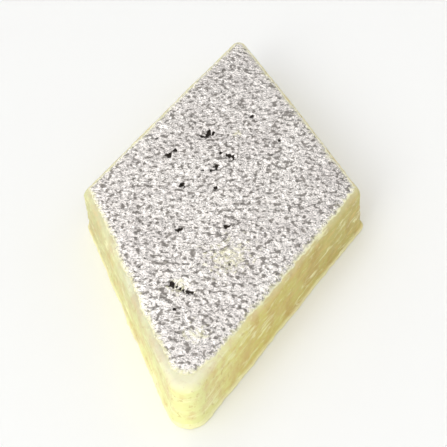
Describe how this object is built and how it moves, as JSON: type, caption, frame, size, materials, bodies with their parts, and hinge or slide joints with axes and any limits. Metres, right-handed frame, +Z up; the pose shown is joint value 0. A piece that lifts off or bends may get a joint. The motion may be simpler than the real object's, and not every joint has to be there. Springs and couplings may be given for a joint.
{
  "type": "kaju barfi",
  "caption": "Thin diamond of pale yellow cashew fudge, knife-cut with a rounded rim and a small burr at its foot, topped with crinkled silver leaf.",
  "frame": {"origin": "middle of the underside, on the surface that the sweet lies on", "axes": "+Z up through the thickness, +Y along the long diagonal away from the more worn tip, +X along the short diagonal to the right"},
  "size_m": [0.0352, 0.067, 0.0066],
  "materials": {
    "cashew_fudge": "soft satin, waxy, with knife-drag streaks on the cut sides",
    "silver_leaf": "beaten foil, finely crinkled, bright"
  },
  "bodies": {
    "root": {"cashew_fudge": "cashew_fudge", "silver_leaf": "silver_leaf"}
  },
  "joints": []
}
